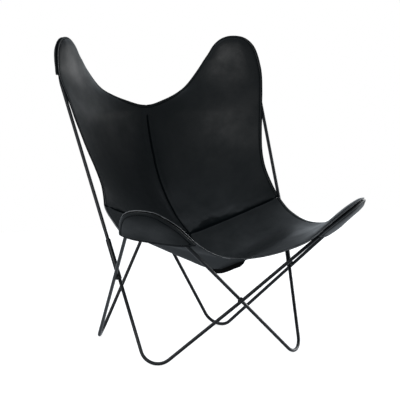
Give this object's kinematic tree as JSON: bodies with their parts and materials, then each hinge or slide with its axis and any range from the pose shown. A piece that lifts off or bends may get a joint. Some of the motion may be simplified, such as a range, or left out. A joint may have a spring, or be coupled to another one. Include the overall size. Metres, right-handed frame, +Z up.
{
  "type": "butterfly chair",
  "caption": "Low lounge chair: a hanging leather sling with a deep seat, hooked by its pockets over a frame of bent and crossed round rods.",
  "frame": {"origin": "on the floor, under the middle of the chair", "axes": "+Z up, -Y the way the sitter faces, +X to the right of someone who looks at the chair from the front"},
  "size_m": [0.749, 0.7444, 0.8818],
  "materials": {
    "frame_rods": "black powder coat, half gloss",
    "frame_sleeves": "black powder coat, half gloss",
    "weld_beads": "black powder coat over rough weld",
    "sling_leather": "smooth black saddle leather, half matt, burnished edges"
  },
  "bodies": {
    "root": {"base_rod_left": "frame_rods", "base_rod_right": "frame_rods", "back_hoop_left": "frame_rods", "side_sleeve_left": "frame_sleeves", "rear_sleeve_left": "frame_sleeves", "side_weld_left": "weld_beads", "back_hoop_right": "frame_rods", "side_sleeve_right": "frame_sleeves", "rear_sleeve_right": "frame_sleeves", "side_weld_right": "weld_beads", "front_weld": "weld_beads", "rear_weld": "weld_beads", "back_panel_left": "sling_leather", "seat_panel_left": "sling_leather", "hoop_pocket_left": "sling_leather", "wing_pocket_left": "sling_leather", "back_panel_right": "sling_leather", "seat_panel_right": "sling_leather", "hoop_pocket_right": "sling_leather", "wing_pocket_right": "sling_leather"}
  },
  "joints": []
}
